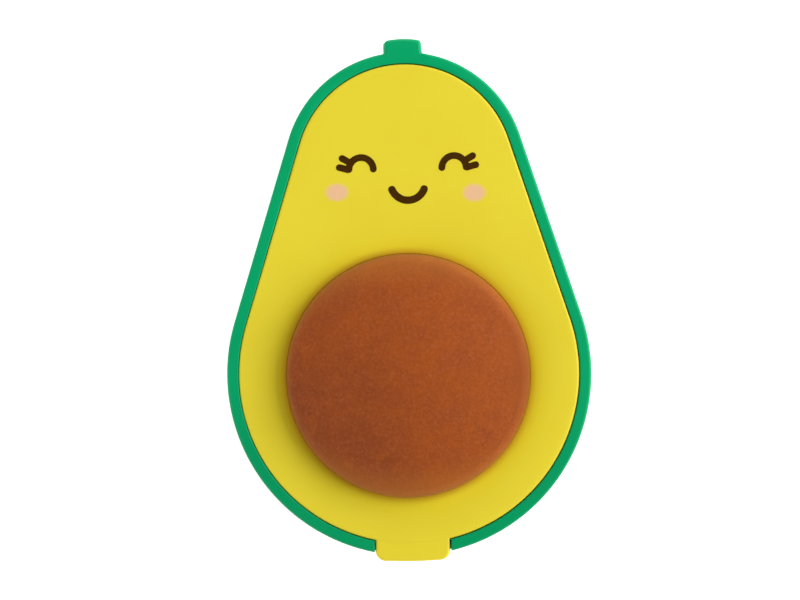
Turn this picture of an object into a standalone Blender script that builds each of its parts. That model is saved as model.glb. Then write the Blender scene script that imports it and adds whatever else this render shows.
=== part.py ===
"""Avocado-shaped hinged pocket case, lying on its back with the lid closed.

A green tray carries a lid on a pin at its narrow end. The lid is a green frame with a yellow face panel
let into it, and a soft brown dome stands on the panel as the fruit's stone. Metres, +Z up, +Y towards
the hinge, and the origin under the middle of the case on the surface that it rests on.
"""
import math

import bmesh
import bpy
from mathutils import Vector

# Outline: two circles and the straight sides that touch both.
BOWL_RADIUS = 0.0285
NECK_RADIUS = 0.0190
NECK_OFFSET = 0.0313
OUTLINE_STEPS = 96

# Heights above the resting surface.
BASE_HEIGHT = 0.0125
LID_TOP = 0.0200
PIT_TOP = 0.0262
FIT_GAP = 0.0003

# Tray.
BASE_WALL = 0.0022
BASE_FLOOR = 0.0018
BASE_ROUNDING = 0.0080
LIP_INSET = 0.0015
LIP_HEIGHT = 0.0014

# Lid frame.
RIM_WIDTH = 0.00165
SKIRT_WALL = 0.0012
LEDGE_WIDTH = 0.0032
LEDGE_THICKNESS = 0.0010
NOTCH_BOTTOM = 0.0159
NOTCH_DEPTH = 0.0024

# Face panel and its thumb tab.
PANEL_THICKNESS = 0.0016
TAB_WIDTH = 0.0117
TAB_REACH = 0.0009
TAB_THICKNESS = 0.0025
TAB_CORNER = 0.0012

# Dome.
PIT_RADIUS = 0.01925
PIT_FORWARD = 0.0004
CROWN_RADIUS = 0.0600
PIT_ROUNDING = 0.0022
SEAT_DEPTH = 0.0008
PIT_STEPS = 72

# Hinge: a lug on the tray between the two cheeks of the lid's block, on one pin.
BLOCK_WIDTH = 0.0060
BLOCK_REACH = 0.00205
BLOCK_ROUNDING = 0.0007
KNUCKLE_RADIUS = 0.00088
LUG_WIDTH = 0.0028
LUG_STOP = 0.0006
LUG_STOP_DROP = 0.00062
LUG_DROP = 0.0045
SLOT_BITE = 0.0001
PIN_RADIUS = 0.00040
PIN_CLEARANCE = 0.00008
PIN_LENGTH = 0.0057

# Fineness of the curves.
ROUND_STEPS = 24
ARC_STEPS = 8
EDGE_STEPS = 4
SHARP_ANGLE = math.radians(35)
MERGE_DISTANCE = 0.00001

# Places worked out from the sizes above.
LEAN = math.asin((BOWL_RADIUS - NECK_RADIUS) / NECK_OFFSET)
BOWL_Y = (BOWL_RADIUS + TAB_REACH - NECK_OFFSET - NECK_RADIUS - BLOCK_REACH) / 2
FRONT_Y = BOWL_Y - BOWL_RADIUS
BACK_Y = BOWL_Y + NECK_OFFSET + NECK_RADIUS
PIT_Y = BOWL_Y - PIT_FORWARD
LID_BOTTOM = BASE_HEIGHT + FIT_GAP
PANEL_BOTTOM = LID_TOP - PANEL_THICKNESS
LEDGE_TOP = PANEL_BOTTOM - FIT_GAP
SEAT_FLOOR = LID_TOP - SEAT_DEPTH
PIVOT_Y = BACK_Y + BLOCK_REACH - KNUCKLE_RADIUS
PIVOT_Z = BASE_HEIGHT + FIT_GAP / 2
SLOT_TOP = PIVOT_Z + KNUCKLE_RADIUS + FIT_GAP

PLASTIC_GREEN = (0.008, 0.342, 0.138, 1.0)
PLASTIC_YELLOW = (0.787, 0.651, 0.042, 1.0)
RUBBER_BROWN = (0.342, 0.075, 0.020, 1.0)
STEEL = (0.560, 0.560, 0.570, 1.0)


def clear_scene():
    for old in list(bpy.data.objects):
        bpy.data.objects.remove(old, do_unlink=True)


def new_collection(name):
    collection = bpy.data.collections.new(name)
    bpy.context.scene.collection.children.link(collection)
    return collection


def new_material(name, colour, roughness, metallic=0.0):
    material = bpy.data.materials.new(name)
    material.use_nodes = True
    shader = material.node_tree.nodes["Principled BSDF"]
    shader.inputs["Base Color"].default_value = colour
    shader.inputs["Roughness"].default_value = roughness
    shader.inputs["Metallic"].default_value = metallic
    return material


def new_object(name, bm, collection, material=None, origin=(0.0, 0.0, 0.0)):
    """Turn a bmesh that was built in place into a named object with the given origin."""
    bmesh.ops.translate(bm, verts=bm.verts, vec=-Vector(origin))
    bmesh.ops.recalc_face_normals(bm, faces=bm.faces)
    mesh = bpy.data.meshes.new(name)
    bm.to_mesh(mesh)
    bm.free()
    mesh.shade_smooth()
    mesh.set_sharp_from_angle(angle=SHARP_ANGLE)
    if material:
        mesh.materials.append(material)
    piece = bpy.data.objects.new(name, mesh)
    piece.location = origin
    collection.objects.link(piece)
    return piece


def new_tool(name, bm):
    """A form that only cuts or joins other objects."""
    tool = new_object(name, bm, tools)
    tool.hide_render = True
    tool.display_type = "WIRE"
    return tool


def boolean(piece, tool, operation):
    modifier = piece.modifiers.new(f"{operation.lower()} {tool.name}", "BOOLEAN")
    modifier.operation = operation
    modifier.solver = "EXACT"
    modifier.object = tool


def arc(centre, radius, start, end, steps):
    """Points on an arc, with its angles in degrees, ends included."""
    points = []
    for step in range(steps + 1):
        angle = math.radians(start + (end - start) * step / steps)
        points.append((centre[0] + radius * math.cos(angle), centre[1] + radius * math.sin(angle)))
    return points


def outline_point(facing, inset, height):
    """The point of the outline that looks along a unit direction, drawn in by the inset."""
    on_neck = facing.y > math.sin(LEAN)
    radius = (NECK_RADIUS if on_neck else BOWL_RADIUS) - inset
    centre_y = BOWL_Y + (NECK_OFFSET if on_neck else 0.0)
    return Vector((radius * facing.x, centre_y + radius * facing.y, height))


def facing_at(point):
    """The direction in which the outline looks at one of its points."""
    on_neck = point.y > BOWL_Y + NECK_OFFSET / 2
    centre_y = BOWL_Y + (NECK_OFFSET if on_neck else 0.0)
    return Vector((point.x, point.y - centre_y)).normalized()


def loft(profile, closed):
    """The outline drawn through each (inset, height) of the profile, then closed up or capped."""
    bm = bmesh.new()
    verts = bmesh.ops.create_circle(bm, segments=OUTLINE_STEPS, radius=1.0)["verts"]
    for vert in verts:
        vert.co = outline_point(vert.co.xy, *profile[0])
    first_ring = bm.edges[:]
    ring = first_ring
    for inset, height in profile[1:] + profile[:1] if closed else profile[1:]:
        drawn = bmesh.ops.extrude_edge_only(bm, edges=ring)["geom"]
        ring = [item for item in drawn if isinstance(item, bmesh.types.BMEdge)]
        for vert in drawn:
            if isinstance(vert, bmesh.types.BMVert):
                vert.co = outline_point(facing_at(vert.co), inset, height)
    if closed:
        bmesh.ops.remove_doubles(bm, verts=bm.verts, dist=MERGE_DISTANCE)
    else:
        bmesh.ops.holes_fill(bm, edges=first_ring + ring)
    return bm


def box(low, high):
    """A cube moved and stretched to fill the space between two corners."""
    bm = bmesh.new()
    bmesh.ops.create_cube(bm, size=1.0)
    low, high = Vector(low), Vector(high)
    bmesh.ops.scale(bm, verts=bm.verts, vec=high - low)
    bmesh.ops.translate(bm, verts=bm.verts, vec=(low + high) / 2)
    return bm


def round_edges(bm, radius, chosen):
    """Round the edges that the test picks out by their two ends."""
    edges = [edge for edge in bm.edges if chosen(edge.verts[0].co, edge.verts[1].co)]
    bmesh.ops.bevel(
        bm, geom=edges, offset=radius, segments=EDGE_STEPS, profile=0.5, affect="EDGES", material=-1
    )


def rod(radius, length):
    """A rod on the hinge's axis, with its middle at the middle of the hinge."""
    bm = bmesh.new()
    bmesh.ops.create_cone(
        bm, cap_ends=True, segments=ROUND_STEPS, radius1=radius, radius2=radius, depth=length
    )
    for vert in bm.verts:
        vert.co = (vert.co.z, PIVOT_Y + vert.co.x, PIVOT_Z + vert.co.y)
    return bm


def side_profile(points, width):
    """A flat shape in Y and Z, drawn out along X to the given width about the middle."""
    bm = bmesh.new()
    verts = [bm.verts.new((-width / 2, y, z)) for y, z in points]
    face = bm.faces.new(verts)
    drawn = bmesh.ops.extrude_face_region(bm, geom=[face])
    moved = [item for item in drawn["geom"] if isinstance(item, bmesh.types.BMVert)]
    bmesh.ops.translate(bm, verts=moved, vec=(width, 0.0, 0.0))
    return bm


def make_base_shell():
    """The tray: a rounded shell with a flat to rest on, a locating lip and the hinge's lug."""
    rounding = BASE_ROUNDING
    inner = rounding - BASE_WALL
    outside = [(rounding - x, z) for x, z in arc((0.0, rounding), rounding, -90, 0, ARC_STEPS)]
    inside = [(rounding - x, z) for x, z in arc((0.0, BASE_FLOOR + inner), inner, 0, -90, ARC_STEPS)]
    lip = [
        (0.0, BASE_HEIGHT),
        (LIP_INSET, BASE_HEIGHT),
        (LIP_INSET, BASE_HEIGHT + LIP_HEIGHT),
        (BASE_WALL, BASE_HEIGHT + LIP_HEIGHT),
    ]
    shell = new_object("base_shell", loft(outside + lip + inside, closed=False), parts, green)
    embed = BASE_WALL / 2
    profile = [
        (BACK_Y - embed, BASE_HEIGHT),
        (PIVOT_Y, BASE_HEIGHT),
        (PIVOT_Y + LUG_STOP, PIVOT_Z - LUG_STOP_DROP),
        (PIVOT_Y + LUG_STOP, PIVOT_Z - LUG_DROP / 2),
        (BACK_Y, PIVOT_Z - LUG_DROP),
        (BACK_Y - embed, PIVOT_Z - LUG_DROP),
    ]
    boolean(shell, new_tool("lug_web", side_profile(profile, LUG_WIDTH)), "UNION")
    boolean(shell, new_tool("lug_knuckle", rod(KNUCKLE_RADIUS, LUG_WIDTH)), "UNION")
    boolean(shell, new_tool("lug_bore", rod(PIN_RADIUS + PIN_CLEARANCE, BLOCK_WIDTH)), "DIFFERENCE")


def make_lid_frame():
    """The lid's outer ring, with a ledge under the panel, a notch for the tab and the hinge's block."""
    profile = [
        (0.0, LID_BOTTOM),
        (0.0, LID_TOP - FIT_GAP),
        (FIT_GAP, LID_TOP),
        (RIM_WIDTH, LID_TOP),
        (RIM_WIDTH, LEDGE_TOP),
        (LEDGE_WIDTH, LEDGE_TOP),
        (LEDGE_WIDTH, LEDGE_TOP - LEDGE_THICKNESS),
        (SKIRT_WALL, LEDGE_TOP - LEDGE_THICKNESS),
        (SKIRT_WALL, LID_BOTTOM),
    ]
    hinge_axis = (0.0, PIVOT_Y, PIVOT_Z)
    frame = new_object("lid_frame", loft(profile, closed=True), parts, green, hinge_axis)

    outer_y = BACK_Y + BLOCK_REACH
    block_half = BLOCK_WIDTH / 2
    block = box((-block_half, BACK_Y - SKIRT_WALL / 2, LID_BOTTOM), (block_half, outer_y, LID_TOP))
    round_edges(block, BLOCK_ROUNDING, lambda a, b: min(a.y, b.y) > BACK_Y and max(a.z, b.z) > LID_BOTTOM)
    boolean(frame, new_tool("hinge_block", block), "UNION")
    boolean(frame, new_tool("cheek_knuckles", rod(KNUCKLE_RADIUS, BLOCK_WIDTH)), "UNION")

    slot_half = LUG_WIDTH / 2 + FIT_GAP
    slot = box((-slot_half, BACK_Y - SLOT_BITE, 0.0), (slot_half, outer_y + FIT_GAP, SLOT_TOP))
    boolean(frame, new_tool("lug_slot", slot), "DIFFERENCE")
    boolean(frame, new_tool("cheek_bore", rod(PIN_RADIUS + PIN_CLEARANCE, BLOCK_WIDTH * 2)), "DIFFERENCE")

    notch_half = TAB_WIDTH / 2 + FIT_GAP
    notch_back = FRONT_Y + NOTCH_DEPTH
    notch = box((-notch_half, FRONT_Y - TAB_REACH, NOTCH_BOTTOM), (notch_half, notch_back, PIT_TOP))
    boolean(frame, new_tool("tab_notch", notch), "DIFFERENCE")


def make_lid_panel():
    """The face panel, with its thumb tab and the shallow seat that the dome stands in."""
    edge = RIM_WIDTH + FIT_GAP
    hinge_axis = (0.0, PIVOT_Y, PIVOT_Z)
    panel_form = loft([(edge, PANEL_BOTTOM), (edge, LID_TOP)], closed=False)
    panel = new_object("lid_panel", panel_form, parts, yellow, hinge_axis)

    tab_front = FRONT_Y - TAB_REACH
    tab_bottom = NOTCH_BOTTOM + FIT_GAP
    profile = [
        (tab_front, tab_bottom),
        (tab_front, LID_TOP),
        (FRONT_Y + LEDGE_WIDTH, LID_TOP),
        (FRONT_Y + LEDGE_WIDTH, PANEL_BOTTOM),
        (tab_front + TAB_THICKNESS, PANEL_BOTTOM),
        (tab_front + TAB_THICKNESS, tab_bottom),
    ]
    tab = side_profile(profile, TAB_WIDTH)
    round_edges(tab, TAB_CORNER, lambda a, b: max(a.y, b.y) < FRONT_Y and abs(a.z - b.z) > FIT_GAP)
    boolean(panel, new_tool("thumb_tab", tab), "UNION")

    seat = bmesh.new()
    radius = PIT_RADIUS + FIT_GAP
    bmesh.ops.create_cone(
        seat, cap_ends=True, segments=PIT_STEPS, radius1=radius, radius2=radius, depth=SEAT_DEPTH * 2
    )
    bmesh.ops.translate(seat, verts=seat.verts, vec=(0.0, PIT_Y, LID_TOP))
    boolean(panel, new_tool("dome_seat", seat), "DIFFERENCE")


def make_pit_dome():
    """The soft dome, turned: an upright edge, a rounded shoulder and a crown that is part of a sphere."""
    bottom = SEAT_FLOOR + FIT_GAP
    crown_z = PIT_TOP - CROWN_RADIUS
    shoulder_x = PIT_RADIUS - PIT_ROUNDING
    reach = CROWN_RADIUS - PIT_ROUNDING
    shoulder_z = crown_z + math.sqrt(reach**2 - shoulder_x**2)
    meeting = math.degrees(math.acos(shoulder_x / reach))
    crown = arc((0.0, crown_z), CROWN_RADIUS, 90, meeting, ARC_STEPS)
    shoulder = arc((shoulder_x, shoulder_z), PIT_ROUNDING, meeting, 0, ARC_STEPS)
    outline = crown + shoulder[1:] + [(PIT_RADIUS, bottom), (0.0, bottom)]
    bm = bmesh.new()
    verts = [bm.verts.new((x, 0.0, z - bottom)) for x, z in outline]
    for vert, next_vert in zip(verts, verts[1:]):
        bm.edges.new((vert, next_vert))
    dome = new_object("pit_dome", bm, parts, brown)
    dome.location = (0.0, PIT_Y, bottom)
    turn = dome.modifiers.new("turn", "SCREW")
    turn.steps = PIT_STEPS
    turn.render_steps = PIT_STEPS
    turn.use_merge_vertices = True
    turn.merge_threshold = MERGE_DISTANCE
    turn.use_smooth_shade = True


def make_hinge_pin():
    pin = rod(PIN_RADIUS, PIN_LENGTH)
    new_object("hinge_pin", pin, parts, steel, (0.0, PIVOT_Y, PIVOT_Z))


clear_scene()
parts = new_collection("avocado_case")
tools = new_collection("cutters")
green = new_material("green_plastic", PLASTIC_GREEN, 0.42)
yellow = new_material("yellow_plastic", PLASTIC_YELLOW, 0.48)
brown = new_material("brown_rubber", RUBBER_BROWN, 0.75)
steel = new_material("steel", STEEL, 0.30, 1.0)

make_base_shell()
make_lid_frame()
make_lid_panel()
make_pit_dome()
make_hinge_pin()
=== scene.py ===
"""Looks of the avocado-shaped pocket case.

Finely rounded plastic shells, a soft rubber stone and a printed face, all built round the CAD frame.
"""
import math

import bmesh
import bpy
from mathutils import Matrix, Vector


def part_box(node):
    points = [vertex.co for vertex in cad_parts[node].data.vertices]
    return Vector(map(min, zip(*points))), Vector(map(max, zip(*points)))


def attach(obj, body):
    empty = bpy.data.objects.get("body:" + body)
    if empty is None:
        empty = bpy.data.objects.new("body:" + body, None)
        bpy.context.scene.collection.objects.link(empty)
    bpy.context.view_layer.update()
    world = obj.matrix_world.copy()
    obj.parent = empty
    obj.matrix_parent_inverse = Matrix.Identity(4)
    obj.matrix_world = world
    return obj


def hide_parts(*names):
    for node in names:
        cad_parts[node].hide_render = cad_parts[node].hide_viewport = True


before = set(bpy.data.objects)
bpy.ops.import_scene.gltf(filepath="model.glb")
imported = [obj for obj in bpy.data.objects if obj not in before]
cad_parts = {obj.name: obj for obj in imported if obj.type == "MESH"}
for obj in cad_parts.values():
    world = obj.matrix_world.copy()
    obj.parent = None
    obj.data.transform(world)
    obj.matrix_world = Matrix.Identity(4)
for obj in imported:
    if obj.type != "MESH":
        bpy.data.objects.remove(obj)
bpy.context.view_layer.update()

# Places read from the frame. Lengths are in metres throughout, and angles in degrees.
frame_low, frame_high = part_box("lid_frame")
tray_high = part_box("base_shell")[1]
panel_low, panel_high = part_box("lid_panel")
dome_low, dome_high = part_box("pit_dome")
pin_low, pin_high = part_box("hinge_pin")

# The outline: two circles and the straight sides that touch both.
BOWL_RADIUS = (frame_high.x - frame_low.x) / 2
BOWL_Y = frame_low.y + BOWL_RADIUS
NECK_RADIUS = 0.0190
NECK_OFFSET = 0.0313
LEAN = math.asin((BOWL_RADIUS - NECK_RADIUS) / NECK_OFFSET)
OUTLINE_STEPS = 300
ARC_STEP = 0.0005
ROD_STEPS = 48
MERGE_DISTANCE = 0.000002
FRONT_Y = BOWL_Y - BOWL_RADIUS
BACK_Y = BOWL_Y + NECK_OFFSET + NECK_RADIUS

# Roundings that several moulded edges share.
CRISP_ROUNDING = 0.00010
FINE_ROUNDING = 0.00015
SOFT_ROUNDING = 0.00020

# How far an edge turns before it is rounded as a carved edge, and before it is shaded as a sharp one.
CARVED_TURN = 50
SHADING_TURN = 35

# Tray.
LIP_HEIGHT = 0.0014
LIP_INSET = 0.0015
TRAY_TOP = tray_high.z - LIP_HEIGHT
TRAY_WALL = 0.0022
TRAY_FLOOR = 0.0018
TRAY_ROUNDING = 0.0080
FLOOR_INSET = 0.0100

# Lid.
FIT_GAP = 0.0003
PANEL_GAP = 0.00012
PANEL_SPREAD = 1.0015
PANEL_SHIFT = -0.00003
PANEL_ROUNDING = 0.00038
PANEL_BORDER = 0.0010
LID_BOTTOM = TRAY_TOP + FIT_GAP
LID_TOP = frame_high.z
RIM_WIDTH = 0.00180
RIM_OUTER_ROUNDING = 0.00045
RIM_INNER_ROUNDING = 0.00022
SKIRT_WALL = 0.0012
LEDGE_WIDTH = 0.0032
LEDGE_THICKNESS = 0.0010
LEDGE_ROOT_ROUNDING = 0.00030
PANEL_THICKNESS = 0.0016
LEDGE_TOP = LID_TOP - PANEL_THICKNESS - FIT_GAP

# Thumb tab and its notch.
TAB_WIDTH = 0.0117
TAB_FRONT = panel_low.y
TAB_BOTTOM = panel_low.z
TAB_THICKNESS = 0.0025
TAB_CORNER = 0.0015
TAB_EDGE = 0.00050
TAB_BOW = 0.00024
TAB_BOW_CUTS = 15
TAB_SINK = 0.00008
TAB_TOP = panel_high.z - TAB_SINK
NOTCH_GAP = 0.00016
NOTCH_DEPTH = 0.0024
NOTCH_ROUNDING = 0.00015

# Dome: a hair smaller than the CAD dome and shifted by a hair, in the seat cut for it.
DOME_TRIM = 0.00027
DOME_RADIUS = (dome_high.x - dome_low.x) / 2 - DOME_TRIM
DOME_SHIFT = 0.00010
DOME_X = -0.00014
DOME_Y = (dome_low.y + dome_high.y) / 2 + DOME_SHIFT
CROWN_RADIUS = 0.0600
DOME_ROUNDING = 0.0022
SHOULDER_STEPS = 16
CROWN_STEPS = 28
SEAT_GAP = 0.00003
SEAT_DEPTH = 0.0008
SEAT_ROUNDING = 0.00022
SEAT_ARC_END = 96
SEAT_ARC_STEPS = 10
DISH_WIDTH = 0.0020
DISH_DEPTH = 0.00007
DISH_LIFT = 0.00001
DISH_STEPS = 8
DISH_CURVE = 1.5

# Hinge.
PIVOT = (pin_low + pin_high) / 2
KNUCKLE_RADIUS = 0.00088
BLOCK_WIDTH = 0.0060
LUG_WIDTH = 0.0028
LUG_STOP = 0.0006
LUG_DROP = 0.0045
BORE_RADIUS = 0.00048
BLOCK_CORNER = 0.0007
BLOCK_EDGE = 0.00060
BLOCK_FLARE = 0.0008
BLOCK_ROOT = 0.0004
BLOCK_TAPER = 0.00012
BLOCK_BOW = 0.00024
BLOCK_SWELL = 0.00018
BLOCK_BACK_RADIUS = 0.0140
BLOCK_SHIFT = 0.00006
BLOCK_EMBED = 0.8
LUG_TOP_DROP = 0.0002
LUG_STOP_RISE = 0.7
LUG_CORNERS = (0.0001, 0.0010, 0.0005)
PIN_EDGE = 0.00008

# Printed face, measured from the middle of the neck's circle.
NECK_Y = BOWL_Y + NECK_OFFSET
EYE_INK = 0.00105
SMILE_INK = 0.00116
INK_RISE = 0.00003
INK_ARC_STEPS = 40
INK_DISC_STEPS = 32
PRINT_SHIFT = 0.00044
EYE_OUT = 0.00726
EYE_UP = 0.00071
EYE_RADIUS = 0.00190
EYE_HALF_SWEEP = 88
LASHES = (((0.00155, 0.00100), (0.00294, 0.00182)), ((0.00185, 0.00000), (0.00340, 0.00040)))
SMILE_UP = -0.00151
SMILE_RADIUS = 0.00270
SMILE_HALF_SWEEP = 68.5
CHEEKS = ((-0.01069, -0.00276), (0.01078, -0.00326))
CHEEK_WIDTH = 0.00185
CHEEK_HEIGHT = 0.00142
CHEEK_CORE = 0.62
CHEEK_EDGE = 1.18
CHEEK_STRENGTH = 0.92
PRINT_DEPTH = 0.0001

# Painted light and drifts of tone: the widths of two bands round the dome, one of painted warm bounce
# light and shade and one of painted contact shade, painted shade that deepens the green at the wide end,
# and on the dome a painted slope of light from the shaded side to the lit one, an oval band paler
# towards its edge, and painted shade on the lit shoulder, at the right edge and at the foot.
BOUNCE_AND_SHADE_WIDTH = 0.0048
CONTACT_SHADE_WIDTH = 0.0014
WIDE_END_SHARE = 0.6
LIT_SIDE_WAY = (1.0, 0.60, 0.0)
SHADED_SIDE_LIMIT = -0.026
LIT_SIDE_LIMIT = -0.004
LIT_SIDE_WANDER = 0.007
PALER_EDGE_OVAL = (0.75, 1.0, 0.0)
PALER_EDGE_START = 0.70
SHOULDER_SHADE_START = 0.76
SHOULDER_SHADE_END = 0.96
EDGE_SHADE_START = 0.92
FOOT_SHADE_TOP = 0.0032
FOOT_SHADE_BOTTOM = 0.0019

# Colours, in linear light.
WHITE = (1.0, 1.0, 1.0, 1.0)
GREEN_LIGHTER = (0.0004, 0.372, 0.137, 1.0)
GREEN_DARKER = (0.0003, 0.348, 0.126, 1.0)
# Painted shade for the wide end.
GREEN_PAINTED_SHADE = (0.0003, 0.302, 0.106, 1.0)
YELLOW_LIGHTER = (0.800, 0.660, 0.034, 1.0)
YELLOW_DARKER = (0.780, 0.635, 0.029, 1.0)
# Painted warm bounce light and shade round the dome, and painted contact shade at its edge.
YELLOW_PAINTED_BOUNCE = (0.805, 0.640, 0.0190, 1.0)
YELLOW_PAINTED_CONTACT_SHADE = (0.600, 0.330, 0.0110, 1.0)
BLUSH = (0.830, 0.490, 0.300, 1.0)
# Painted shade and painted light for the dome's two sides.
BROWN_PAINTED_SHADE_SIDE = (0.250, 0.046, 0.0070, 1.0)
BROWN_PAINTED_LIT_SIDE = (0.340, 0.064, 0.0036, 1.0)
BROWN_PATCH = (0.272, 0.052, 0.0100, 1.0)
BROWN_WARM = (0.355, 0.070, 0.0050, 1.0)
BROWN_PIT = (0.195, 0.036, 0.0030, 1.0)
BROWN_FLECK = (0.390, 0.110, 0.0350, 1.0)
BROWN_PALER_EDGE = (0.400, 0.125, 0.0160, 1.0)
# Painted shade on the dome's lit shoulder, its right edge and its foot.
BROWN_PAINTED_SHADE_SHOULDER = (0.272, 0.058, 0.0030, 1.0)
BROWN_PAINTED_SHADE_EDGE = (0.210, 0.042, 0.0014, 1.0)
BROWN_PAINTED_SHADE_FOOT = (0.230, 0.076, 0.0036, 1.0)
BROWN_SHEEN = (1.0, 0.72, 0.18, 1.0)
INK_THICK = (0.048, 0.0175, 0.0004, 1.0)
INK_THIN = (0.060, 0.0220, 0.0006, 1.0)
STEEL_GREY = (0.56, 0.56, 0.57, 1.0)
FLOOR_WHITE = (0.90, 0.90, 0.90, 1.0)

# Stage. A light is its name, azimuth, elevation, width and share of the light on a level sheet.
FLOOR_GLOW = 0.65
FLOOR_GAP = 0.00001
FLOOR_HALF_WIDTH = 3.0
LIGHT_DISTANCE = 1.2
LIGHTS = (("key", 12, 30, 1.2, 0.655), ("fill", 205, 32, 1.0, 0.195), ("back", 95, 14, 0.9, 0.065))
ROOM_FALLOFF = {"From Min": 0.25, "From Max": 0.85, "To Min": 0.95, "To Max": 0.04}
CAMERA_LENS = 120.0
CAMERA_SENSOR = 36.0
CAMERA_NEAR = 0.01
CAMERA_X = -0.0012
CAMERA_Y = 0.00005
CAMERA_HEIGHT = 0.4167
CAMERA_TURN = -1.25


def rounded_path(corners, closed=True):
    """Turn (across, up, radius) corners into a path in which an arc takes each corner off."""
    path = []
    for index, (across, up, radius) in enumerate(corners):
        here = Vector((across, up))
        is_end = not closed and index in (0, len(corners) - 1)
        if radius == 0 or is_end:
            path.append(here)
            continue
        back = (Vector(corners[index - 1][:2]) - here).normalized()
        ahead = (Vector(corners[(index + 1) % len(corners)][:2]) - here).normalized()
        half_angle = back.angle(ahead) / 2
        reach = radius / math.tan(half_angle)
        centre = here + (back + ahead).normalized() * radius / math.sin(half_angle)
        first_spoke = here + back * reach - centre
        last_spoke = here + ahead * reach - centre
        steps = max(4, round(radius / ARC_STEP))
        for step in range(steps + 1):
            path.append(centre + first_spoke.slerp(last_spoke, step / steps) * radius)
    return path


def outline_point(facing, inset, height):
    """The point of the outline that looks along a unit direction, drawn in by the inset."""
    on_neck = facing.y > math.sin(LEAN)
    radius = (NECK_RADIUS if on_neck else BOWL_RADIUS) - inset
    centre_y = BOWL_Y + (NECK_OFFSET if on_neck else 0.0)
    return Vector((radius * facing.x, centre_y + radius * facing.y, height))


def facing_at(point):
    """The direction in which the outline looks at one of its points."""
    on_neck = point.y > BOWL_Y + NECK_OFFSET / 2
    centre_y = BOWL_Y + (NECK_OFFSET if on_neck else 0.0)
    return Vector((point.x, point.y - centre_y)).normalized()


def verts_in(drawn):
    """The points among the parts that an extrusion has made."""
    return [item for item in drawn["geom"] if isinstance(item, bmesh.types.BMVert)]


def drawn_round_outline(path, closed):
    """A solid made by drawing one ring of the outline through each (inset, height) of a path."""
    bm = bmesh.new()
    verts = bmesh.ops.create_circle(bm, segments=OUTLINE_STEPS, radius=1.0)["verts"]
    for vert in verts:
        vert.co = outline_point(vert.co.xy, *path[0])
    first_ring = bm.edges[:]
    ring = first_ring
    stops = path[1:] + path[:1] if closed else path[1:]
    for inset, height in stops:
        drawn = bmesh.ops.extrude_edge_only(bm, edges=ring)
        ring = [item for item in drawn["geom"] if isinstance(item, bmesh.types.BMEdge)]
        for vert in verts_in(drawn):
            vert.co = outline_point(facing_at(vert.co), inset, height)
    if closed:
        bmesh.ops.remove_doubles(bm, verts=bm.verts, dist=MERGE_DISTANCE)
    else:
        bmesh.ops.holes_fill(bm, edges=first_ring + ring)
    bmesh.ops.recalc_face_normals(bm, faces=bm.faces)
    return bm


def box(low, high):
    """A cube stretched between two corners."""
    bm = bmesh.new()
    bmesh.ops.create_cube(bm, size=1.0)
    low, high = Vector(low), Vector(high)
    bmesh.ops.scale(bm, verts=bm.verts, vec=high - low)
    bmesh.ops.translate(bm, verts=bm.verts, vec=(low + high) / 2)
    return bm


def round_edges(bm, radius, chosen, segments=5, sharper_than=None):
    """Round the edges whose two ends pass the test, or those of them that turn more than an angle."""
    edges = []
    for edge in bm.edges:
        turns = sharper_than is None or (
            len(edge.link_faces) == 2 and edge.calc_face_angle() > math.radians(sharper_than)
        )
        if turns and chosen(edge.verts[0].co, edge.verts[1].co):
            edges.append(edge)
    bmesh.ops.bevel(
        bm, geom=edges, offset=radius, segments=segments, profile=0.5, affect="EDGES", material=-1
    )


def prism(corners, way):
    """A solid made by drawing a flat face out along a vector."""
    bm = bmesh.new()
    face = bm.faces.new([bm.verts.new(corner) for corner in corners])
    drawn = bmesh.ops.extrude_face_region(bm, geom=[face])
    bmesh.ops.translate(bm, verts=verts_in(drawn), vec=way)
    bmesh.ops.recalc_face_normals(bm, faces=bm.faces)
    return bm


def side_profile(path, width):
    """A flat shape in Y and Z, drawn out along X to the given width about the middle."""
    return prism([(-width / 2, y, z) for y, z in path], (width, 0.0, 0.0))


def upright_profile(path, bottom, top):
    """A flat shape in X and Y, drawn up from one height to another."""
    return prism([(x, y, bottom) for x, y in path], (0.0, 0.0, top - bottom))


def wall_y(x):
    """Where the outline's wall stands at the hinge end, this far out from the middle."""
    return NECK_Y + math.sqrt(NECK_RADIUS**2 - x**2)


def rod(radius, length):
    """A rod on the hinge's axis."""
    bm = bmesh.new()
    bmesh.ops.create_cone(
        bm, cap_ends=True, segments=ROD_STEPS, radius1=radius, radius2=radius, depth=length
    )
    for vert in bm.verts:
        vert.co = (vert.co.z, PIVOT.y + vert.co.x, PIVOT.z + vert.co.y)
    bmesh.ops.recalc_face_normals(bm, faces=bm.faces)
    return bm


def arc(centre, radius, start, end, steps):
    """Points on an arc in the (across, up) plane, with its angles in degrees, ends included."""
    points = []
    for step in range(steps + 1):
        angle = math.radians(start + (end - start) * step / steps)
        points.append((centre[0] + radius * math.cos(angle), centre[1] + radius * math.sin(angle)))
    return points


def turned(section):
    """A solid turned about the dome's upright axis from a section of (across, up) points."""
    bm = bmesh.new()
    verts = [bm.verts.new((DOME_X + across, DOME_Y, up)) for across, up in section]
    edges = [bm.edges.new(pair) for pair in zip(verts, verts[1:])]
    bmesh.ops.spin(
        bm, geom=verts + edges, cent=(DOME_X, DOME_Y, 0.0), axis=(0.0, 0.0, 1.0),
        angle=math.tau, steps=OUTLINE_STEPS // 2, use_merge=True,
    )
    bmesh.ops.remove_doubles(bm, verts=bm.verts, dist=MERGE_DISTANCE)
    bmesh.ops.recalc_face_normals(bm, faces=bm.faces)
    return bm


def bare_object(bm):
    """An unfinished object that takes over the bmesh."""
    mesh = bpy.data.meshes.new("form")
    bm.to_mesh(mesh)
    bm.free()
    form = bpy.data.objects.new("form", mesh)
    bpy.context.scene.collection.objects.link(form)
    return form


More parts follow.
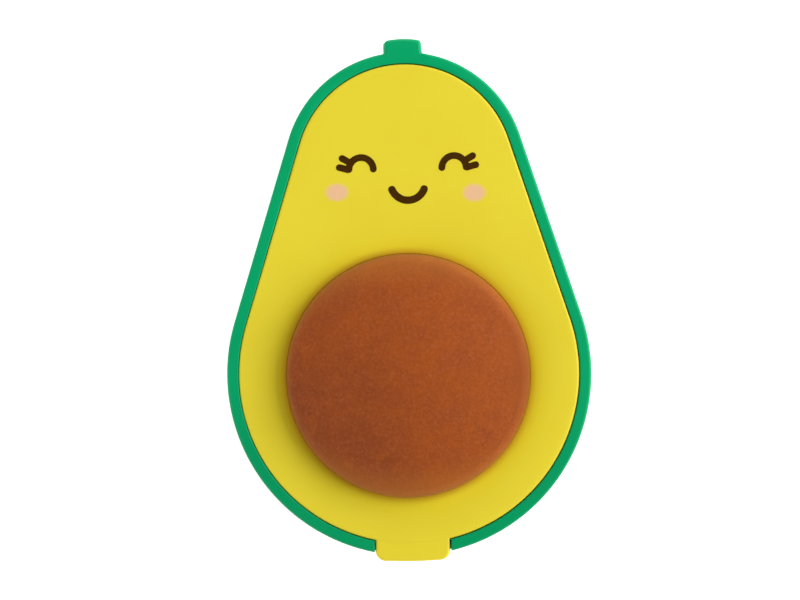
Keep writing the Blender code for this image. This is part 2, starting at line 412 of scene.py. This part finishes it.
def carved(body, *steps):
    """The body's bmesh after each (form, operation) step, with the forms used up."""
    solid = bare_object(body)
    forms = [solid]
    for form, operation in steps:
        modifier = solid.modifiers.new(operation, "BOOLEAN")
        modifier.operation = operation
        modifier.solver = "EXACT"
        modifier.object = bare_object(form)
        forms.append(modifier.object)
    depsgraph = bpy.context.evaluated_depsgraph_get()
    mesh = bpy.data.meshes.new_from_object(solid.evaluated_get(depsgraph))
    result = bmesh.new()
    result.from_mesh(mesh)
    for form in forms:
        bpy.data.objects.remove(form, do_unlink=True)
    bpy.data.meshes.remove(mesh)
    return result


def new_piece(name, bm, body, material, node=None):
    """Finish a bmesh as a named piece that rides on a body and stands for a CAD node."""
    mesh = bpy.data.meshes.new(name)
    bm.to_mesh(mesh)
    bm.free()
    mesh.shade_smooth()
    mesh.set_sharp_from_angle(angle=math.radians(SHADING_TURN))
    mesh.materials.append(material)
    piece = bpy.data.objects.new(name, mesh)
    bpy.context.scene.collection.objects.link(piece)
    even = piece.modifiers.new("even shading", "WEIGHTED_NORMAL")
    even.keep_sharp = True
    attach(piece, body)
    if node:
        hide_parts(node)


# --- Materials -------------------------------------------------------------------------------------


class Finish:
    """A Principled material with short helpers for its nodes."""

    def __init__(self, name):
        self.material = bpy.data.materials.new(name)
        self.material.use_nodes = True
        self.nodes = self.material.node_tree.nodes
        self.links = self.material.node_tree.links
        self.shader = self.nodes["Principled BSDF"]
        self.place = self.nodes.new("ShaderNodeTexCoord").outputs["Object"]

    def set(self, **values):
        """Set the shader's values, with _ for a space in a socket's name."""
        for name, value in values.items():
            self.shader.inputs[name.replace("_", " ")].default_value = value

    def along(self, axis):
        """The place along one axis."""
        node = self.nodes.new("ShaderNodeSeparateXYZ")
        self.links.new(self.place, node.inputs["Vector"])
        return node.outputs[axis]

    def against(self, operation, vector):
        """The place's distance from a fixed vector, or its product with it."""
        node = self.nodes.new("ShaderNodeVectorMath")
        node.operation = operation
        node.inputs[1].default_value = vector
        self.links.new(self.place, node.inputs[0])
        return node.outputs["Value"]

    def reach(self, scale, offset):
        """The length of the place once it is scaled and shifted: an oval's radius when flattened."""
        mapped = self.nodes.new("ShaderNodeMapping")
        mapped.vector_type = "POINT"
        mapped.inputs["Scale"].default_value = scale
        mapped.inputs["Location"].default_value = offset
        self.links.new(self.place, mapped.inputs["Vector"])
        node = self.nodes.new("ShaderNodeVectorMath")
        node.operation = "LENGTH"
        self.links.new(mapped.outputs["Vector"], node.inputs[0])
        return node.outputs["Value"]

    def joined(self, operation, first, second):
        """The sum or the product of two values."""
        node = self.nodes.new("ShaderNodeMath")
        node.operation = operation
        self.links.new(first, node.inputs[0])
        self.links.new(second, node.inputs[1])
        return node.outputs["Value"]

    def noise(self, scale, detail=3.0, roughness=0.5):
        """A cloudy value that varies round 0.5, with this many clouds to a metre."""
        node = self.nodes.new("ShaderNodeTexNoise")
        node.inputs["Scale"].default_value = scale
        node.inputs["Detail"].default_value = detail
        node.inputs["Roughness"].default_value = roughness
        self.links.new(self.place, node.inputs["Vector"])
        return node.outputs["Fac"]

    def ramp(self, value, low, high, out_low=0.0, out_high=1.0, smooth=False):
        """The value carried from one range to another, and held at its ends."""
        node = self.nodes.new("ShaderNodeMapRange")
        node.interpolation_type = "SMOOTHSTEP" if smooth else "LINEAR"
        node.inputs["From Min"].default_value = low
        node.inputs["From Max"].default_value = high
        node.inputs["To Min"].default_value = out_low
        node.inputs["To Max"].default_value = out_high
        self.links.new(value, node.inputs["Value"])
        return node.outputs["Result"]

    def mix(self, factor, first, second):
        """One colour turned into another as the factor goes from 0 to 1."""
        node = self.nodes.new("ShaderNodeMix")
        node.data_type = "RGBA"
        self.links.new(factor, node.inputs["Factor"])
        for socket, colour in ((node.inputs[6], first), (node.inputs[7], second)):
            if isinstance(colour, tuple):
                socket.default_value = colour
            else:
                self.links.new(colour, socket)
        return node.outputs[2]

    def bump(self, height, strength, distance, under=None):
        """A relief in the shading, laid over the relief under it."""
        node = self.nodes.new("ShaderNodeBump")
        node.inputs["Strength"].default_value = strength
        node.inputs["Distance"].default_value = distance
        self.links.new(height, node.inputs["Height"])
        if under:
            self.links.new(under, node.inputs["Normal"])
        return node.outputs["Normal"]

    def connect(self, value, socket):
        """Feed a value to one of the shader's sockets."""
        self.links.new(value, self.shader.inputs[socket])


def moulded_plastic(name, colour, shade, roughness):
    """Satin moulded plastic and its tint: a faint drift in tone and a fine even grain."""
    finish = Finish(name)
    drift = finish.ramp(finish.noise(90.0, detail=4.0), 0.30, 0.70)
    tint = finish.mix(drift, colour, shade)
    polish = finish.noise(260.0, detail=5.0, roughness=0.6)
    finish.connect(finish.ramp(polish, 0.3, 0.7, roughness - 0.04, roughness + 0.05), "Roughness")
    waviness = finish.bump(finish.noise(120.0, detail=1.0), 0.10, 0.0002)
    grain = finish.noise(5200.0, detail=2.0)
    finish.connect(finish.bump(grain, 0.10, 0.00004, waviness), "Normal")
    return finish, tint


def green_plastic():
    """The shells' plastic, with painted shade that deepens the green towards the wide end."""
    finish, tint = moulded_plastic("green_plastic", GREEN_LIGHTER, GREEN_DARKER, 0.42)
    finish.set(IOR=1.40, Specular_IOR_Level=0.20)
    # Painted shade: the green is mixed darker towards the wide end, standing in for the shade that falls
    # there.
    wide_end_y = BOWL_Y - BOWL_RADIUS * WIDE_END_SHARE
    painted_shade_wide_end = finish.ramp(finish.along("Y"), BOWL_Y, wide_end_y, 0.0, 0.85, smooth=True)
    finish.connect(finish.mix(painted_shade_wide_end, tint, GREEN_PAINTED_SHADE), "Base Color")
    return finish.material


def yellow_plastic():
    """The panel's plastic, with painted bounce light and painted shade round the dome, and two blush
    marks printed on its outer face.
    """
    finish, tint = moulded_plastic("yellow_plastic", YELLOW_LIGHTER, YELLOW_DARKER, 0.46)
    finish.set(IOR=1.40, Specular_IOR_Level=0.35)
    # Painted light: a warm band round the dome stands in for the bounce light from the brown dome and
    # the shade beside it.
    from_dome = finish.against("DISTANCE", (DOME_X, DOME_Y, LID_TOP))
    painted_bounce = finish.ramp(from_dome, DOME_RADIUS + BOUNCE_AND_SHADE_WIDTH, DOME_RADIUS, smooth=True)
    colour = finish.mix(painted_bounce, tint, YELLOW_PAINTED_BOUNCE)
    # Painted shade: a darker band at the dome's edge stands in for the contact shadow where the dome
    # meets the panel.
    painted_contact_shade = finish.ramp(from_dome, DOME_RADIUS + CONTACT_SHADE_WIDTH, DOME_RADIUS, 0.0, 0.8, smooth=True)
    colour = finish.mix(painted_contact_shade, colour, YELLOW_PAINTED_CONTACT_SHADE)
    on_face = finish.ramp(finish.along("Z"), LID_TOP - PRINT_DEPTH, LID_TOP - PRINT_DEPTH / 2)
    scale = (1 / CHEEK_WIDTH, 1 / CHEEK_HEIGHT, 0.0)
    for out, up in CHEEKS:
        cheek = finish.reach(scale, (-out / CHEEK_WIDTH, -(NECK_Y + up) / CHEEK_HEIGHT, 0.0))
        blush = finish.ramp(cheek, CHEEK_CORE, CHEEK_EDGE, CHEEK_STRENGTH, 0.0, smooth=True)
        colour = finish.mix(finish.joined("MULTIPLY", blush, on_face), colour, BLUSH)
    finish.connect(colour, "Base Color")
    return finish.material


def brown_rubber():
    """Soft matt rubber: mottled, paler towards its edge, with a painted slope of light from a shaded
    side to a lit one, and painted shade on its lit shoulder, right edge and foot.
    """
    finish = Finish("brown_rubber")
    finish.set(IOR=1.38, Specular_IOR_Level=0.3)
    finish.set(Sheen_Weight=0.20, Sheen_Roughness=0.50, Sheen_Tint=BROWN_SHEEN)
    # Painted light: the colour runs from a painted shaded side to a painted lit side along one direction
    # across the dome.
    wander = finish.ramp(finish.noise(110.0), 0.3, 0.7, -LIT_SIDE_WANDER, LIT_SIDE_WANDER)
    painted_light_slope = finish.joined("ADD", finish.against("DOT_PRODUCT", LIT_SIDE_WAY), wander)
    side = finish.ramp(painted_light_slope, SHADED_SIDE_LIMIT, LIT_SIDE_LIMIT, smooth=True)
    patches = finish.ramp(finish.noise(300.0, detail=5.0, roughness=0.65), 0.40, 0.66, 0.0, 0.6)
    warmth = finish.ramp(finish.noise(480.0, detail=4.0, roughness=0.6), 0.48, 0.68, 0.0, 0.5)
    grain = finish.noise(2000.0, detail=3.0, roughness=0.7)
    pits = finish.ramp(grain, 0.50, 0.30, 0.0, 0.45)
    flecks = finish.ramp(grain, 0.52, 0.75, 0.0, 0.50)
    oval = finish.reach(PALER_EDGE_OVAL, (0.0, -DOME_Y, 0.0))
    paler_edge = finish.ramp(oval, DOME_RADIUS * PALER_EDGE_START, DOME_RADIUS, 0.0, 0.6, smooth=True)
    # Painted shade on the shoulder that faces the key light, darkening its lit side.
    across = finish.along("X")
    shoulder_shade_x = DOME_RADIUS * SHOULDER_SHADE_START
    painted_shade_shoulder = finish.ramp(across, shoulder_shade_x, DOME_RADIUS * SHOULDER_SHADE_END, 0.0, 0.82, smooth=True)
    # Painted shade at the dome's right edge, which faces the light.
    painted_shade_edge = finish.ramp(across, DOME_RADIUS * EDGE_SHADE_START, DOME_RADIUS, 0.0, 0.80, smooth=True)
    # Painted shade at the dome's foot, where it meets the panel.
    painted_shade_foot = finish.ramp(finish.along("Z"), LID_TOP + FOOT_SHADE_TOP, LID_TOP + FOOT_SHADE_BOTTOM, 0.0, 0.65)
    colour = BROWN_PAINTED_SHADE_SIDE
    for factor, layer in (
        (side, BROWN_PAINTED_LIT_SIDE),
        (patches, BROWN_PATCH),
        (warmth, BROWN_WARM),
        (pits, BROWN_PIT),
        (flecks, BROWN_FLECK),
        (paler_edge, BROWN_PALER_EDGE),
        (painted_shade_shoulder, BROWN_PAINTED_SHADE_SHOULDER),
        (painted_shade_edge, BROWN_PAINTED_SHADE_EDGE),
        (painted_shade_foot, BROWN_PAINTED_SHADE_FOOT),
    ):
        colour = finish.mix(factor, colour, layer)
    finish.connect(colour, "Base Color")
    finish.connect(finish.ramp(patches, 0.0, 1.0, 0.70, 0.80), "Roughness")
    skin = finish.bump(finish.noise(900.0, detail=4.0, roughness=0.6), 0.18, 0.00008)
    finish.connect(finish.bump(finish.noise(3600.0, detail=2.0), 0.15, 0.00004, skin), "Normal")
    return finish.material


def face_ink():
    """Printed ink, a little blotchy."""
    finish = Finish("face_ink")
    finish.set(IOR=1.40, Specular_IOR_Level=0.10)
    blotch = finish.ramp(finish.noise(1400.0, detail=3.0), 0.35, 0.70)
    finish.connect(finish.mix(blotch, INK_THICK, INK_THIN), "Base Color")
    finish.connect(finish.ramp(blotch, 0.0, 1.0, 0.48, 0.56), "Roughness")
    return finish.material


def drawn_steel():
    """The pin's steel wire."""
    finish = Finish("steel")
    finish.set(Metallic=1.0, Base_Color=STEEL_GREY)
    finish.connect(finish.ramp(finish.noise(2400.0), 0.3, 0.7, 0.24, 0.36), "Roughness")
    return finish.material


GREEN = green_plastic()
YELLOW = yellow_plastic()
BROWN = brown_rubber()
INK = face_ink()
STEEL = drawn_steel()


# --- Pieces ----------------------------------------------------------------------------------------


def make_tray():
    """The back half: an open shell with a locating lip, and the lug that holds the pin."""
    path = rounded_path(
        [
            (FLOOR_INSET, 0.0, 0),
            (0.0, 0.0, TRAY_ROUNDING),
            (0.0, TRAY_TOP, SOFT_ROUNDING),
            (LIP_INSET, TRAY_TOP, CRISP_ROUNDING),
            (LIP_INSET, TRAY_TOP + LIP_HEIGHT, FINE_ROUNDING),
            (TRAY_WALL, TRAY_TOP + LIP_HEIGHT, SOFT_ROUNDING),
            (TRAY_WALL, TRAY_FLOOR, TRAY_ROUNDING - TRAY_WALL),
            (FLOOR_INSET, TRAY_FLOOR, 0),
        ],
        closed=False,
    )
    shell = drawn_round_outline(path, closed=False)
    root_y = BACK_Y - TRAY_WALL / 2
    stop_y = PIVOT.y + LUG_STOP
    stop_corner, back_corner, foot_corner = LUG_CORNERS
    lug_path = rounded_path(
        [
            (root_y, TRAY_TOP - LUG_TOP_DROP, 0),
            (PIVOT.y, TRAY_TOP - LUG_TOP_DROP, 0),
            (stop_y, PIVOT.z - KNUCKLE_RADIUS * LUG_STOP_RISE, stop_corner),
            (stop_y, PIVOT.z - LUG_DROP / 2, back_corner),
            (BACK_Y, PIVOT.z - LUG_DROP, foot_corner),
            (root_y, PIVOT.z - LUG_DROP, 0),
        ]
    )
    tray = carved(
        shell,
        (side_profile(lug_path, LUG_WIDTH), "UNION"),
        (rod(KNUCKLE_RADIUS, LUG_WIDTH), "UNION"),
        (rod(BORE_RADIUS, BLOCK_WIDTH), "DIFFERENCE"),
    )
    new_piece("base_tray", tray, "base", GREEN, "base_shell")


def hinge_block():
    """The block at the lid's narrow end: flared at its root, tapered, and bowed at its back."""
    outer_y = frame_high.y
    half = BLOCK_WIDTH / 2
    side = [
        (half + BLOCK_FLARE, BACK_Y - SKIRT_WALL * BLOCK_EMBED, 0),
        (half + BLOCK_FLARE, wall_y(half + BLOCK_FLARE) - BLOCK_ROOT, 0),
        (half, wall_y(half), BLOCK_FLARE),
        (half - BLOCK_TAPER, outer_y - BLOCK_BOW, BLOCK_CORNER),
    ]
    back = [(0.0, outer_y + BLOCK_SWELL, BLOCK_BACK_RADIUS)]
    plan = side + back + [(-across, along, radius) for across, along, radius in reversed(side)]
    block = upright_profile(rounded_path(plan), LID_BOTTOM, LID_TOP)
    bmesh.ops.translate(block, verts=block.verts, vec=(BLOCK_SHIFT, 0.0, 0.0))
    round_edges(
        block,
        BLOCK_EDGE,
        lambda a, b: min(a.z, b.z) > LID_TOP - MERGE_DISTANCE and max(a.y, b.y) > BACK_Y - FIT_GAP,
    )
    return block


def make_lid_ring():
    """The lid's outer ring: a rim, the ledge under the panel, the hinge block and the tab's notch."""
    path = rounded_path(
        [
            (0.0, LID_BOTTOM, FINE_ROUNDING),
            (0.0, LID_TOP, RIM_OUTER_ROUNDING),
            (RIM_WIDTH, LID_TOP, RIM_INNER_ROUNDING),
            (RIM_WIDTH, LEDGE_TOP, CRISP_ROUNDING),
            (LEDGE_WIDTH, LEDGE_TOP, FINE_ROUNDING),
            (LEDGE_WIDTH, LEDGE_TOP - LEDGE_THICKNESS, FINE_ROUNDING),
            (SKIRT_WALL, LEDGE_TOP - LEDGE_THICKNESS, LEDGE_ROOT_ROUNDING),
            (SKIRT_WALL, LID_BOTTOM, FINE_ROUNDING),
        ]
    )
    slot_half = LUG_WIDTH / 2 + FIT_GAP
    slot = box(
        (-slot_half, BACK_Y - FIT_GAP / 3, 0.0),
        (slot_half, frame_high.y + FIT_GAP, PIVOT.z + KNUCKLE_RADIUS + FIT_GAP),
    )
    notch_half = TAB_WIDTH / 2 + NOTCH_GAP
    notch = box(
        (-notch_half, TAB_FRONT, TAB_BOTTOM - FIT_GAP),
        (notch_half, FRONT_Y + NOTCH_DEPTH, dome_high.z),
    )
    lid = carved(
        drawn_round_outline(path, closed=True),
        (hinge_block(), "UNION"),
        (rod(KNUCKLE_RADIUS, BLOCK_WIDTH), "UNION"),
        (slot, "DIFFERENCE"),
        (rod(BORE_RADIUS, BLOCK_WIDTH * 2), "DIFFERENCE"),
        (notch, "DIFFERENCE"),
    )

    def on_notch(point):
        at_side = abs(abs(point.x) - notch_half) < MERGE_DISTANCE
        return at_side and point.y < 0 and point.z > TAB_BOTTOM

    round_edges(
        lid,
        NOTCH_ROUNDING,
        lambda a, b: on_notch(a) and on_notch(b),
        segments=3,
        sharper_than=CARVED_TURN,
    )
    new_piece("lid_ring", lid, "lid", GREEN, "lid_frame")


def thumb_tab(bottom):
    """The tab with its tail on the panel: rounded at its corners and edges, and bowed at its front."""
    tab = side_profile(
        [
            (TAB_FRONT, TAB_BOTTOM),
            (TAB_FRONT, TAB_TOP),
            (FRONT_Y + LEDGE_WIDTH, TAB_TOP),
            (FRONT_Y + LEDGE_WIDTH, bottom),
            (TAB_FRONT + TAB_THICKNESS, bottom),
            (TAB_FRONT + TAB_THICKNESS, TAB_BOTTOM),
        ],
        TAB_WIDTH,
    )
    round_edges(
        tab,
        TAB_CORNER,
        lambda a, b: max(a.y, b.y) < FRONT_Y and abs(a.z - b.z) > FIT_GAP,
        segments=8,
    )
    inner_y = FRONT_Y + LEDGE_WIDTH - FIT_GAP
    round_edges(
        tab,
        TAB_EDGE,
        lambda a, b: min(a.z, b.z) > TAB_TOP - MERGE_DISTANCE and min(a.y, b.y) < inner_y,
    )
    across = []
    for edge in tab.edges:
        if abs(edge.verts[0].co.x - edge.verts[1].co.x) > TAB_WIDTH / 2:
            across.append(edge)
    bmesh.ops.subdivide_edges(tab, edges=across, cuts=TAB_BOW_CUTS, use_grid_fill=True)
    for vert in tab.verts:
        if vert.co.y < FRONT_Y + TAB_THICKNESS:
            vert.co.y += TAB_BOW * (2 * vert.co.x / TAB_WIDTH) ** 2
    return tab


def dome_seat():
    """The form that cuts the dome's seat: a flat floor, a rounded mouth and a shallow dish round it."""
    seat_radius = DOME_RADIUS + SEAT_GAP
    mouth = seat_radius + SEAT_ROUNDING
    seat_floor = LID_TOP - SEAT_DEPTH
    section = [(0.0, seat_floor), (seat_radius, seat_floor)]
    mouth_centre = (mouth, LID_TOP - DISH_DEPTH - SEAT_ROUNDING)
    section += arc(mouth_centre, SEAT_ROUNDING, 180, SEAT_ARC_END, SEAT_ARC_STEPS)
    for step in range(1, DISH_STEPS + 1):
        way = step / DISH_STEPS
        height = DISH_LIFT * way - DISH_DEPTH * (1 - way) ** DISH_CURVE
        section.append((mouth + DISH_WIDTH * way, LID_TOP + height))
    section += [(mouth + DISH_WIDTH, dome_high.z), (0.0, dome_high.z)]
    return turned(section)


def make_face_panel():
    """The plate let into the ring, with its thumb tab and the dome's seat."""
    edge = RIM_WIDTH + PANEL_GAP
    bottom = LID_TOP - PANEL_THICKNESS
    path = rounded_path(
        [
            (edge + PANEL_BORDER, bottom, 0),
            (edge, bottom, FINE_ROUNDING),
            (edge, LID_TOP, PANEL_ROUNDING),
            (edge + PANEL_BORDER, LID_TOP, 0),
        ],
        closed=False,
    )
    plate = drawn_round_outline(path, closed=False)
    tab = thumb_tab(bottom)
    bmesh.ops.scale(plate, verts=plate.verts, vec=(PANEL_SPREAD, 1.0, 1.0))
    for part in (plate, tab):
        bmesh.ops.translate(part, verts=part.verts, vec=(PANEL_SHIFT, 0.0, 0.0))
    panel = carved(plate, (tab, "UNION"), (dome_seat(), "DIFFERENCE"))
    new_piece("face_panel", panel, "lid", YELLOW, "lid_panel")


def make_stone_dome():
    """A soft turned cap: an upright edge, a rounded shoulder and a crown that is part of a sphere."""
    crown_z = dome_high.z - CROWN_RADIUS
    shoulder_x = DOME_RADIUS - DOME_ROUNDING
    reach = CROWN_RADIUS - DOME_ROUNDING
    shoulder_z = crown_z + math.sqrt(reach**2 - shoulder_x**2)
    meeting = math.degrees(math.acos(shoulder_x / reach))
    section = [(0.0, dome_low.z), (DOME_RADIUS, dome_low.z)]
    section += arc((shoulder_x, shoulder_z), DOME_ROUNDING, 0, meeting, SHOULDER_STEPS)
    section += arc((0.0, crown_z), CROWN_RADIUS, meeting, 90, CROWN_STEPS)[1:]
    new_piece("stone_dome", turned(section), "lid", BROWN, "pit_dome")


def make_pin():
    """The steel pin through the two cheeks and the lug, with its ends eased."""
    pin = rod(pin_high.z - PIVOT.z, pin_high.x - pin_low.x)
    round_edges(
        pin,
        PIN_EDGE,
        lambda a, b: abs(a.x - b.x) < MERGE_DISTANCE and abs(a.x) > LUG_WIDTH / 2,
        segments=3,
    )
    new_piece("steel_pin", pin, "base", STEEL, "hinge_pin")


def inked(bm):
    """Give a flat shape the thickness of a layer of ink, sunk by as much as it stands proud."""
    drawn = bmesh.ops.extrude_face_region(bm, geom=bm.faces[:])
    bmesh.ops.translate(bm, verts=verts_in(drawn), vec=(0.0, 0.0, 2 * INK_RISE))
    bmesh.ops.translate(bm, verts=bm.verts, vec=(0.0, 0.0, LID_TOP - INK_RISE))
    bmesh.ops.recalc_face_normals(bm, faces=bm.faces)
    return bm


def round_end(centre, width):
    """A disc of ink that rounds the end of a stroke."""
    bm = bmesh.new()
    circle = bmesh.ops.create_circle(bm, cap_ends=True, segments=INK_DISC_STEPS, radius=width / 2)
    bmesh.ops.translate(bm, verts=circle["verts"], vec=centre)
    return inked(bm)


def line_stroke(start, end, width):
    """A flat straight band of ink between two points."""
    across = (end - start).cross(Vector((0.0, 0.0, 1.0))).normalized() * width / 2
    bm = bmesh.new()
    corners = (start - across, start + across, end + across, end - across)
    bm.faces.new([bm.verts.new(corner) for corner in corners])
    return inked(bm)


def arc_stroke(centre, radius, middle, half_sweep, width):
    """A flat band of ink along an arc, and the steps that join the two discs that round its ends."""
    spokes = []
    for angle in (middle - half_sweep, middle + half_sweep):
        spokes.append(Vector((math.cos(math.radians(angle)), math.sin(math.radians(angle)), 0.0)))
    bm = bmesh.new()
    verts = [bm.verts.new(centre + spokes[0] * (radius + side * width / 2)) for side in (-1, 1)]
    edge = bm.edges.new(verts)
    sweep = math.radians(2 * half_sweep)
    bmesh.ops.spin(
        bm, geom=verts + [edge], cent=centre, axis=(0.0, 0.0, 1.0), angle=sweep, steps=INK_ARC_STEPS
    )
    return inked(bm), [(round_end(centre + spoke * radius, width), "UNION") for spoke in spokes]


def make_face_print():
    """Two closed eyes with two lashes each and a smile, as a thin layer of ink."""
    for side, name in ((-1, "left_eye_print"), (1, "right_eye_print")):
        eye = Vector((PRINT_SHIFT + side * EYE_OUT, NECK_Y + EYE_UP, 0.0))
        stroke, steps = arc_stroke(eye, EYE_RADIUS, 90, EYE_HALF_SWEEP, EYE_INK)
        for root, tip in LASHES:
            start = eye + Vector((side * root[0], root[1], 0.0))
            end = eye + Vector((side * tip[0], tip[1], 0.0))
            steps += [(line_stroke(start, end, EYE_INK), "UNION"), (round_end(end, EYE_INK), "UNION")]
        new_piece(name, carved(stroke, *steps), "lid", INK)
    mouth = Vector((PRINT_SHIFT, NECK_Y + SMILE_UP, 0.0))
    stroke, steps = arc_stroke(mouth, SMILE_RADIUS, 270, SMILE_HALF_SWEEP, SMILE_INK)
    new_piece("smile_print", carved(stroke, *steps), "lid", INK)


make_tray()
make_lid_ring()
make_face_panel()
make_stone_dome()
make_pin()
make_face_print()


# --- Stage -----------------------------------------------------------------------------------------


def make_floor():
    """A white sheet lit a little from below, so shadows on it stay pale."""
    floor = bmesh.new()
    bmesh.ops.create_grid(floor, x_segments=1, y_segments=1, size=FLOOR_HALF_WIDTH)
    bmesh.ops.translate(floor, verts=floor.verts, vec=(0.0, 0.0, -FLOOR_GAP))
    mesh = bpy.data.meshes.new("floor")
    floor.to_mesh(mesh)
    floor.free()
    material = bpy.data.materials.new("pale_floor")
    material.use_nodes = True
    shader = material.node_tree.nodes["Principled BSDF"]
    shader.inputs["Base Color"].default_value = FLOOR_WHITE
    shader.inputs["Roughness"].default_value = 0.9
    shader.inputs["Emission Color"].default_value = WHITE
    shader.inputs["Emission Strength"].default_value = FLOOR_GLOW
    mesh.materials.append(material)
    sheet = bpy.data.objects.new("floor", mesh)
    bpy.context.scene.collection.objects.link(sheet)


def make_light(name, azimuth, elevation, size, share):
    """A square soft light aimed at the case, which gives a level sheet the stated share of its light."""
    turn = math.radians(azimuth)
    rise = math.radians(elevation)
    place = Vector((math.cos(rise) * math.cos(turn), math.cos(rise) * math.sin(turn), math.sin(rise)))
    light = bpy.data.lights.new(name, "AREA")
    light.size = size
    light.energy = share * (math.pi * LIGHT_DISTANCE) ** 2 / math.sin(rise)
    lamp = bpy.data.objects.new(name, light)
    lamp.location = place * LIGHT_DISTANCE
    lamp.rotation_euler = place.to_track_quat("Z", "Y").to_euler()
    lamp.visible_camera = False
    bpy.context.scene.collection.objects.link(lamp)


def make_stage():
    """A large soft key from the right, weaker lights from behind and the left, and a dim room."""
    make_floor()
    for light in LIGHTS:
        make_light(*light)
    world = bpy.data.worlds.new("studio")
    world.use_nodes = True
    nodes = world.node_tree.nodes
    links = world.node_tree.links
    background = nodes["Background"]
    background.inputs["Color"].default_value = WHITE
    split = nodes.new("ShaderNodeSeparateXYZ")
    links.new(nodes.new("ShaderNodeTexCoord").outputs["Generated"], split.inputs["Vector"])
    falloff = nodes.new("ShaderNodeMapRange")
    falloff.interpolation_type = "SMOOTHSTEP"
    for socket, value in ROOM_FALLOFF.items():
        falloff.inputs[socket].default_value = value
    links.new(split.outputs["Z"], falloff.inputs["Value"])
    links.new(falloff.outputs["Result"], background.inputs["Strength"])
    bpy.context.scene.world = world
    bpy.context.scene.view_settings.view_transform = "Standard"


def make_camera():
    """A long lens straight above the case."""
    camera = bpy.data.cameras.new("camera")
    camera.lens = CAMERA_LENS
    camera.sensor_width = CAMERA_SENSOR
    camera.clip_start = CAMERA_NEAR
    viewer = bpy.data.objects.new("camera", camera)
    viewer.location = (CAMERA_X, CAMERA_Y, LID_TOP + CAMERA_HEIGHT)
    viewer.rotation_euler = (0.0, 0.0, math.radians(CAMERA_TURN))
    bpy.context.scene.collection.objects.link(viewer)
    bpy.context.scene.camera = viewer


make_stage()
make_camera()
